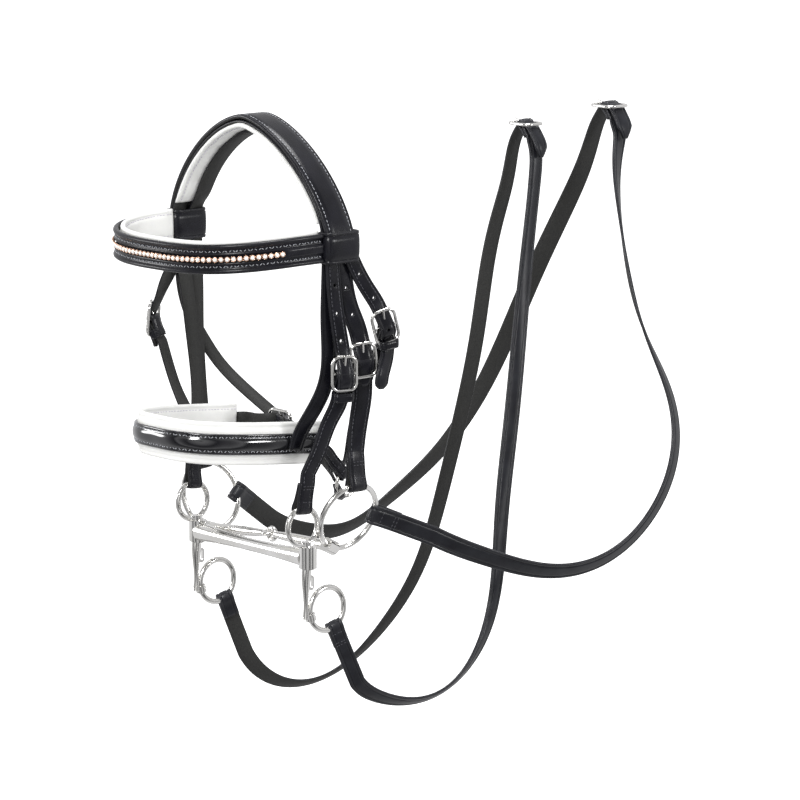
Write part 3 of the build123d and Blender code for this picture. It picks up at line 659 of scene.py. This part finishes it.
def keeper(name, run, distance, width, layers):
    """A leather loop round a strap and the end that lies on it."""
    (point,), (outward,) = run.at(distance)
    (before,), _ = run.at(distance - 2 * MM)
    (after,), _ = run.at(distance + 2 * MM)
    tangent = unit(after - before)
    across = unit(np.cross(outward, tangent))
    outward = np.cross(tangent, across)
    length, wall, steps = 7 * MM, 1.4 * MM, 32
    half, deep = width / 2 + 0.5 * MM, layers * LEATHER / 2 + 0.4 * MM
    path, normals = [], []
    for k in range(steps + 1):
        a = 2 * pi * k / steps
        x = squared(cos(a), 0.35) * half
        z = squared(sin(a), 0.5) * deep
        normal = unit(across * cos(a) / half + outward * sin(a) / deep)
        path.append(point + across * x + outward * z + normal * wall / 2)
        normals.append(normal)
    outline, kinds = strap_profile(length, wall, crease=1.2 * MM, raised=0.1 * MM)
    obj = sweep(name, Run(path, normals), lambda distance: outline,
                ("leather_grain", "leather_flesh"), kinds)
    fit(obj)


# ---- Crown, cheek straps and their billets --------------------------------------------------
def extended(run, by):
    """A run carried on straight past both its ends."""
    first = run.points[0] + unit(run.points[0] - run.points[1]) * by
    last = run.points[-1] + unit(run.points[-1] - run.points[-2]) * by
    return joined([(first, run.outward[0])], rows_of(run), [(last, run.outward[-1])])


def crown():
    run = trace("crown_piece", CROWN, CROWN_THICK)
    run = strap("crown", run, CROWN, "crown_piece", thick=CROWN_THICK)
    edge = CROWN / 2 - 3.4 * MM
    stitches("crown_stitches", run, (-edge, edge), 6 * MM, run.length - 6 * MM,
             height=CROWN_THICK / 2 + 0.12 * MM)


def buckle_centre(name):
    return np.array(JOINTS[f"tongue_{name}_tilt"]["pos_m"])


def billet(kind, holes, tip):
    """A strap end with holes, from its lower tip, through its buckle and a keeper."""
    name = f"{kind}_billet"
    run = trace(f"{name}_near", BILLET)
    at_buckle = run.nearest(buckle_centre(f"{kind}_near"))
    run = run.smoothed(8 * MM).smoothed(42 * MM, at_buckle + 20 * MM).smoothed(8 * MM)
    run = run.bulged(at_buckle - 5 * MM, 2.4 * MM)
    run = strap(name, run, BILLET, f"{name}_near", tips=(tip, "square"))
    punch_holes(name, run, holes)
    edge_stitches(name, run, BILLET, at_buckle + 18 * MM, 4 * MM)
    keeper(f"{name}_keeper", run, at_buckle - 17 * MM, BILLET, 3.6)


def on_ring(name, node, width, ring, buckle=None, tail=20 * MM):
    """A strap sewn round a ring at its lower end and, perhaps, round a buckle's bar on top."""
    run = trace(node, width).smoothed(10 * MM)
    run = fold_back(run, wire_point(ring, node), ring.reach, tail)
    if buckle:
        run = fold_back(run, buckle_centre(buckle), BAR_REACH, 15 * MM, False)
    run = strap(name, run, width, node)
    lap = lap_stitches(name, run, ring, tail, width)
    edge_stitches(name, run, width, lap + tail + 2 * MM, 32 * MM if buckle else 3 * MM)


def upper_ring(side):
    """The curb cheek's fixed upper ring, which holds the cheekpiece."""
    low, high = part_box(f"curb_cheek_{side}")
    _, swing_y, swing_z = JOINTS["curb_bit_swing"]["pos_m"]
    from_middle, wire = 68 * MM, 2.2 * MM
    centre = np.array([np.sign(low.x) * from_middle, swing_y, swing_z])
    return Ring(centre, np.array([1.0, 0, 0]), high.z - swing_z - wire, wire)


def cheek_straps():
    billet("cheek", [22 * MM * k + 30 * MM for k in range(3)], "pointed")
    billet("throat", [26 * MM, 50 * MM, 78 * MM], "round")
    on_ring("curb_cheekpiece", "curb_cheekpiece_near", CHEEK, upper_ring("near"), "cheek_near")
    on_ring("curb_cheekpiece_far", "curb_cheekpiece_off", BILLET, upper_ring("off"))
    near_ring = ring_of("bradoon_ring", "_near")
    off_ring = ring_of("bradoon_ring", "_off")
    on_ring("bradoon_cheekpiece", "bradoon_cheekpiece_near", WIDE, near_ring, "bradoon_near")
    run = trace("bradoon_sliphead", SLIP).smoothed(12 * MM)
    if not run.starts_at(off_ring.centre):
        run = run.reversed()
    run = fold_back(run, wire_point(off_ring, "bradoon_sliphead"), off_ring.reach, 20 * MM)
    run = strap("sliphead", run, SLIP, "bradoon_sliphead", tips=("square", "round"))
    for row, distance in (("upper", 47), ("lower", 38)):
        cross_stitches(f"sliphead_{row}_stitches", run, distance * MM, SLIP)
    punch_holes("sliphead", run, [(60 + 22 * k) * MM for k in range(3)])


def throatlash():
    buckle = buckle_centre("throat_near")
    run = trace("throatlash", THROAT).smoothed(12 * MM)
    run = fold_back(run, buckle, BAR_REACH, 14 * MM, run.starts_at(buckle))
    strap("throatlash_strap", run, THROAT, "throatlash")


def noseband_straps():
    buckle = buckle_centre("noseband_off")
    run = trace("noseband_headstrap", BILLET).smoothed(12 * MM)
    if not run.starts_at(buckle):
        run = run.reversed()
    strap("noseband_strap", run, BILLET, "noseband_headstrap", tips=("pointed", "square"))
    run = trace("noseband_hanger_off", BILLET).smoothed(12 * MM)
    run = fold_back(run, buckle, BAR_REACH, 14 * MM, False)
    run = strap("noseband_hanger", run, BILLET, "noseband_hanger_off")
    keeper("noseband_keeper", run, run.length - 34 * MM, BILLET, 2)


def chin_straps():
    ring, buckle = ring_of("chin_ring"), buckle_centre("chin")
    on_ring("chin_tab", "chin_tab_near", CHIN, ring, tail=11 * MM)
    run = trace("chin_strap_near", CHIN)
    buckle_first = run.starts_at(buckle)
    run = fold_back(run, buckle, BAR_REACH, 12 * MM, buckle_first)
    run = fold_back(run, wire_point(ring, "chin_strap_near"), ring.reach, 8 * MM,
                    not buckle_first)
    strap("chin_strap", run, CHIN, "chin_strap_near")
    run = trace("chin_billet_off", CHIN)
    tips = ("pointed", "square") if run.starts_at(buckle) else ("square", "pointed")
    strap("chin_billet", run, CHIN, "chin_billet_off", tips=tips)


# ---- Reins ----------------------------------------------------------------------------------
# Each pair's width, ring and sewn lap; then the degrees by which it twists where it hangs
# lowest, and over what length.
REINS = {
    "curb": (BILLET, "curb_rein_ring", 17 * MM, 57.0, 85 * MM),
    "bradoon": (WIDE, "bradoon_ring", 21 * MM, 36.0, 130 * MM),
}
FORWARD_ROLL = 50.0               # degrees that the near curb rein turns forwards on its way up


def rein(kind, side):
    width, ring_name, tail, roll, spread = REINS[kind]
    body, node = f"{kind}_reins", f"{kind}_rein_{side}"
    ring, buckle = ring_of(ring_name, f"_{side}"), buckle_centre(f"{kind}_reins")
    run = trace(node, width).smoothed(24 * MM, end=28 * MM).smoothed(6 * MM)
    run = run.rolled(-roll, run.lowest(), spread)
    if node == "curb_rein_near":
        run = run.rolled(FORWARD_ROLL, 0.64 * run.length, 120 * MM)
    if side == "near":
        run = fold_back(run, buckle, BAR_REACH, 12 * MM, False)
    else:
        run = run.bulged(run.nearest(buckle), 2.6 * MM, 7 * MM)
    run = fold_back(run, wire_point(ring, node), ring.reach, tail, aim=48 * MM)
    tips = ("square", "pointed" if side == "off" else "square")
    run = strap(f"{kind}_rein_strap_{side}", run, width, node, body=body,
                leather="leather_rein", tips=tips)
    lap_stitches(node, run, ring, tail, width, body)


# ---- Paddings and bands ---------------------------------------------------------------------
def puffed(half, low, high):
    """A padding's section: rounded edges, full faces, and a groove where a seam pulls it in.
    Gives its points and the numbers of those that the seams hold."""
    steps, power = 22, 0.55
    from_edge, groove, depth = 3.6 * MM, 1.1 * MM, 0.32
    outline, at_seam = [], []
    for k in range(steps * 2):
        a = pi * k / steps
        x = squared(cos(a), power) * half
        z = squared(sin(a), power * 1.3)
        z *= high if z > 0 else low
        off_seam = abs(x) - half + from_edge
        outline.append((x, z * (1 - depth * np.exp(-(off_seam / groove) ** 2))))
        if abs(off_seam) < 1.3 * MM:
            at_seam.append(k)
    return np.array(outline), at_seam


def inflate(obj, held):
    """Puffs a padding up as cloth between its held seams; no point moves further than limit."""
    frames, limit = 20, 0.9 * MM
    mesh, scene = obj.data, bpy.context.scene
    start = np.array([vertex.co for vertex in mesh.vertices])
    obj.vertex_groups.new(name="seams").add(held, 1.0, "REPLACE")
    cloth = obj.modifiers.new("cloth", "CLOTH")
    settings = cloth.settings
    settings.quality = 4
    settings.mass = 0.001
    settings.tension_stiffness = 12
    settings.compression_stiffness = 12
    settings.bending_stiffness = 0.5
    settings.use_pressure = True
    settings.uniform_pressure_force = 4
    settings.effector_weights.gravity = 0
    settings.vertex_group_mass = "seams"
    cloth.point_cache.frame_start = 1
    cloth.point_cache.frame_end = frames
    for number in range(1, frames + 1):
        scene.frame_set(number)
    puffed_up = obj.evaluated_get(bpy.context.evaluated_depsgraph_get()).data
    step = np.nan_to_num(np.array([vertex.co for vertex in puffed_up.vertices]) - start)
    length = np.linalg.norm(step, axis=1)[:, None]
    step *= np.minimum(1.0, limit / np.maximum(length, 1e-9))
    obj.modifiers.remove(cloth)
    mesh.vertices.foreach_set("co", (start + step).ravel())
    mesh.update()
    scene.frame_set(1)


def padding(name, node, run, half, low, high):
    """A soft white padding that thins towards its two ends."""
    outline, at_seam = puffed(half, low, high)
    run = run.resampled()
    taper = 10 * MM

    def profile(distance):
        left = min(distance, run.length - distance)
        thin = min(1.0, 0.45 + 0.55 * left / taper)
        wave = 1 + 0.035 * sin(distance / (5.5 * MM)) + 0.02 * sin(distance / (2.1 * MM))
        return outline * [1, thin * wave]

    size = len(outline)
    obj = sweep(name, run, profile, ("white_leather",), [0] * size)
    inflate(obj, [ring * size + k for ring in range(len(run.points)) for k in at_seam])
    fit(obj, node)
    return run


def crown_padding():
    run = extended(trace("crown_padding", CROWN + 1 * MM, 5.0 * MM), 12 * MM)
    run = padding("crown_pad", "crown_padding", run, CROWN / 2 + 0.5 * MM, 2.7 * MM, 2.5 * MM)
    pad_stitches("crown_pad_stitches", run, CROWN / 2 - 3 * MM, 2.25 * MM, margin=4 * MM)


def crystal_places():
    """Centre and outward direction of each crystal of the CAD node, from its separate solids."""
    points, edges = corners("crystals")
    group = np.arange(len(points))
    changed = True
    while changed:
        low = np.minimum(group[edges[:, 0]], group[edges[:, 1]])
        before = group.copy()
        np.minimum.at(group, edges[:, 0], low)
        np.minimum.at(group, edges[:, 1], low)
        changed = not np.array_equal(before, group)
    places = []
    for label in np.unique(group):
        own = points[group == label]
        centre = own.mean(0)
        _, _, axes = np.linalg.svd(own - centre)
        outward = axes[2] * np.sign(axes[2] @ away_from_head(centre))
        base = centre + outward * ((own - centre) @ outward).min()
        places.append((base, outward))
    return places


def face_directions(outward):
    """Directions across and up a face that looks outward."""
    across = unit(np.cross([0, 0, 1.0], outward))
    return across, np.cross(outward, across)


def gem(points, faces, base, outward, radius):
    """A round brilliant: girdle, kite facets and a flat table, standing in its setting."""
    across, up = face_directions(outward)
    sides, first = 8, len(points)
    # Each level's size and height as shares of the radius, and its turn in facets.
    for size, height, turn in ((1.0, 0.15, 0), (1.0, 0.45, 0), (0.78, 0.95, 0.5), (0.5, 1.15, 0)):
        for k in range(sides):
            a = 2 * pi * (k + turn) / sides
            points.append(base + (across * cos(a) + up * sin(a)) * radius * size
                          + outward * height * radius)
    girdle, kites, star = (tube_faces(first + level * sides, 2, sides) for level in range(3))
    faces += girdle
    for a, b, d, c in kites:
        faces += [(a, b, c), (b, d, c)]
    for a, b, d, c in star:
        faces += [(a, b, d), (a, d, c)]
    faces.append(tuple(first + 3 * sides + k for k in range(sides)))
    faces.append(tuple(first + k for k in range(sides))[::-1])


def cup(points, faces, base, outward, radius):
    """A setting: a scalloped collar whose eight beads grip the stone."""
    across, up = face_directions(outward)
    sides, beads = 32, 8
    # Size and height of the collar's outline, as shares of the stone's radius.
    collar = ((1.32, -0.1), (1.3, 0.35), (1.18, 0.62), (1.0, 0.6), (0.98, -0.1))
    faces += tube_faces(len(points), len(collar), sides, closed=True)
    for size, height in collar:
        for k in range(sides):
            a = 2 * pi * k / sides
            bead = 1 + 0.045 * cos(beads * a) * (height > 0)
            lift = height + 0.14 * cos(beads * a) * (height > 0.5)
            points.append(base + (across * cos(a) + up * sin(a)) * radius * size * bead
                          + outward * lift * radius)


def mirrored(half):
    """A whole section, in metres, from its right half in millimetres, which ends on the middle."""
    right = [(x * MM, z * MM) for x, z in half]
    return right + [(-x, z) for x, z in right[-2::-1]]


def from_near_side(run):
    return run.reversed() if run.points[0][0] < run.points[-1][0] else run


def browband():
    """Rolled edges, two zigzag rows, and a channel that holds the crystals."""
    run = from_near_side(trace("browband", 22 * MM, 4 * MM)).resampled()
    places = crystal_places()
    beside = [run.nearest(base) for base, _ in places]
    first, last = min(beside) - 4 * MM, max(beside) + 4 * MM
    roll = [(11.0, -1.0), (11.3, 0.4), (11.0, 1.8), (10.2, 2.7), (9.2, 2.9), (8.2, 2.5),
            (7.5, 1.7), (6.9, 1.45), (4.7, 1.45), (4.1, 1.6)]
    full, channel = 3.0, 0.6      # height of the middle beside the crystals and under them, mm
    back = [(x * MM, -2.0 * MM) for x in (-9, 0, 9)]

    def profile(distance):
        inside = min(1.0, max(0.0, min(distance - first, last - distance) / (6 * MM)))
        middle = full - (full - channel) * inside
        lip = 2.2 if inside > 0.3 else 2.0
        inner = [(3.6, lip), (2.9, max(middle, 1.0)), (1.4, middle), (0, middle)]
        return mirrored(roll + inner) + back

    size = len(profile(0))
    obj = sweep("browband_face", run, profile, ("leather_grain", "leather_flesh"),
                [0] * (size - 4) + [1] * 4)
    fit(obj, "browband")
    zigzag_stitches("browband_stitches", run, 5.8 * MM, 1.6 * MM)

    radius = 1.75 * MM
    gem_points, gem_faces, cup_points, cup_faces = [], [], [], []
    for base, outward in places:
        gem(gem_points, gem_faces, base, outward, radius)
        cup(cup_points, cup_faces, base, outward, radius)
    gems = add_mesh("browband_gems", gem_points, gem_faces, ("crystal",), smooth=False)
    fit(gems, "crystals")
    cups = add_mesh("browband_cups", cup_points, cup_faces, ("rose_gold",))
    fit(cups, "crystal_settings")


def browband_padding():
    run = trace("browband_padding", 25 * MM, 5 * MM)
    run = padding("browband_pad", "browband_padding", run, 12.6 * MM, 2.6 * MM, 2.6 * MM)
    pad_stitches("browband_pad_stitches", run, 8.6 * MM, 1.95 * MM)


def browband_loop(side):
    """A smooth loop round the straps, with a crease along both rims."""
    node, wall, steps = f"browband_loop_{side}", 1.8 * MM, 64
    low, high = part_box(node)
    centre = np.array((low + high) / 2)
    half_x, half_y = (high.x - low.x) / 2, (high.y - low.y) / 2
    path, normals = [], []
    for k in range(steps + 1):
        a = 2 * pi * k / steps + pi / 2
        x = squared(cos(a), 0.5) * (half_x - wall / 2)
        y = squared(sin(a), 0.3) * (half_y - wall / 2)
        path.append(centre + [x, y, 0])
        normals.append(unit(np.array([cos(a) / half_x, sin(a) / half_y, 0])))
    outline, kinds = strap_profile(high.z - low.z, wall, crease=2.6 * MM, raised=0.5 * MM)
    obj = sweep(f"browband_keeper_{side}", Run(path, normals), lambda distance: outline,
                ("leather_grain", "leather_flesh"), kinds)
    fit(obj, node)


def noseband():
    """A domed patent strip between two zigzag rows, over a broad padding."""
    facing = from_near_side(trace("noseband_facing", 16 * MM)).resampled()
    outline = mirrored([(7.8, -0.6), (8.1, 0.3), (7.7, 1.25), (6.9, 1.5), (5.9, 1.3), (5.0, 1.35),
                        (4.2, 1.9), (2.9, 2.4), (1.4, 2.65), (0, 2.7)])
    outline += [(x * MM, -1.1 * MM) for x in (-6, 0, 6)]
    dome = 2 * MM                 # above this height the strip ripples slightly

    def profile(distance):
        ripple = 1 + 0.05 * sin(distance / (9 * MM)) + 0.03 * sin(distance / (3.7 * MM))
        return [(x, z * ripple if z > dome else z) for x, z in outline]

    obj = sweep("noseband_strip", facing, profile, ("patent_leather", "leather_flesh"),
                [0] * (len(outline) - 4) + [1] * 4)
    fit(obj, "noseband_facing")
    zigzag_stitches("noseband_stitches", facing, 5.4 * MM, 1.45 * MM)
    run = trace("noseband_padding", 33 * MM, 6 * MM)
    run = padding("noseband_pad", "noseband_padding", run, 16.6 * MM, 3.2 * MM, 3.3 * MM)
    pad_stitches("noseband_pad_stitches", run, 12 * MM, 2.5 * MM)


# ---- Metal ----------------------------------------------------------------------------------
def metal():
    """The CAD metal keeps its own shape and takes the polished steel."""
    for node in frame["nodes"].values():
        if not node.hide_render:
            node.data.materials.clear()
            node.data.materials.append(MATERIALS["polished_steel"])


# ---- Floor, light and camera ----------------------------------------------------------------
FLOOR_SIZE, FLOOR_HEIGHT = 60, -0.26
AIM = Vector((0, 0.12, 0.1))      # where all the lamps point
LAMPS = (                         # name, place, diameter, power in watts
    ("key", (1.1, -1.7, 1.5), 0.8, 38),
    ("side", (2.2, 1.1, 0.7), 0.5, 15),
    ("fill", (-1.6, -1.4, 0.5), 0.7, 13),
    ("top", (0.1, 0.3, 2.0), 0.9, 22),
)
ROOM = (                          # grey levels in reflections, from far behind to the camera
    (0.0, 0.7), (0.30, 0.25), (0.48, 0.02), (0.58, 0.8), (0.70, 0.35), (0.84, 0.03),
    (0.92, 0.5), (1.0, 0.18),
)
CAMERA_AZIMUTH, CAMERA_ELEVATION = radians(49.0), radians(10.0)
CAMERA_DISTANCE, LENS, SENSOR = 3.4375, 198.0, 36.0
CAMERA_RIGHT, CAMERA_UP = 0.1156, 0.1125          # the picture's middle, from the origin


def studio():
    bpy.ops.mesh.primitive_plane_add(size=FLOOR_SIZE, location=(0, 0, FLOOR_HEIGHT))
    floor = bpy.context.object
    floor.name = "floor"
    # Only the camera sees the paper, so that the room lights the underside too.
    floor.visible_glossy = floor.visible_diffuse = False
    paper = Material("paper", Roughness=0.9, Emission_Color=(1, 1, 1, 1))
    paper.vary_color(paper.noise(2), (0.49, 0.49, 0.49), (0.51, 0.51, 0.51))
    paper.link(paper.node("ShaderNodeLightPath").outputs["Is Camera Ray"],
               paper.shader.inputs["Emission Strength"])
    floor.data.materials.append(paper.data)
    world = bpy.data.worlds.new("studio")
    bpy.context.scene.world = world
    world.use_nodes = True
    surroundings(world.node_tree)
    for name, place, size, power in LAMPS:
        light = bpy.data.lights.new(name, "AREA")
        light.shape, light.size, light.energy = "DISK", size, power
        lamp = bpy.data.objects.new(name, light)
        lamp.location = place
        lamp.rotation_euler = (AIM - Vector(place)).to_track_quat("-Z", "Y").to_euler()
        bpy.context.scene.collection.objects.link(lamp)


def surroundings(tree):
    """White to the camera and nearly so as light; reflections see a room's lit and dark parts."""
    background = tree.nodes["Background"]
    place = tree.nodes.new("ShaderNodeTexCoord")
    facing = tree.nodes.new("ShaderNodeVectorMath")
    facing.operation = "DOT_PRODUCT"
    facing.inputs[1].default_value = VIEW_BACK
    ramp = tree.nodes.new("ShaderNodeValToRGB")
    for position, level in ROOM:
        stop = ramp.color_ramp.elements.new(position)
        stop.color = (level, level, level * 1.02, 1)
    ramp.color_ramp.elements.remove(ramp.color_ramp.elements[0])
    ray = tree.nodes.new("ShaderNodeLightPath")
    tree.links.new(place.outputs["Generated"], facing.inputs[0])
    tree.links.new(facing.outputs["Value"], ramp.inputs["Fac"])
    seen = ramp.outputs["Color"]
    for kind, level in (("Is Diffuse Ray", 0.85), ("Is Camera Ray", 1.0)):
        mix = tree.nodes.new("ShaderNodeMix")
        mix.data_type = "RGBA"
        mix.inputs[7].default_value = (level, level, level, 1)
        tree.links.new(ray.outputs[kind], mix.inputs[0])
        tree.links.new(seen, mix.inputs[6])
        seen = mix.outputs[2]
    tree.links.new(seen, background.inputs["Color"])


def camera():
    """A long lens in front of the near side, slightly above."""
    a, e = CAMERA_AZIMUTH, CAMERA_ELEVATION
    back = Vector((sin(a) * cos(e), -cos(a) * cos(e), sin(e)))
    right = Vector((cos(a), sin(a), 0))
    up = back.cross(right)
    data = bpy.data.cameras.new("camera")
    data.lens, data.sensor_width, data.clip_end = LENS, SENSOR, 50.0
    obj = bpy.data.objects.new("camera", data)
    obj.location = right * CAMERA_RIGHT + up * CAMERA_UP + back * CAMERA_DISTANCE
    obj.rotation_euler = back.to_track_quat("Z", "Y").to_euler()
    bpy.context.scene.collection.objects.link(obj)
    bpy.context.scene.camera = obj


crown()
crown_padding()
cheek_straps()
throatlash()
noseband_straps()
chin_straps()
for side in ("near", "off"):
    browband_loop(side)
browband_padding()
browband()
noseband()
for kind in REINS:
    for side in ("near", "off"):
        rein(kind, side)
metal()
studio()
camera()
bpy.context.scene.view_settings.view_transform = "Standard"
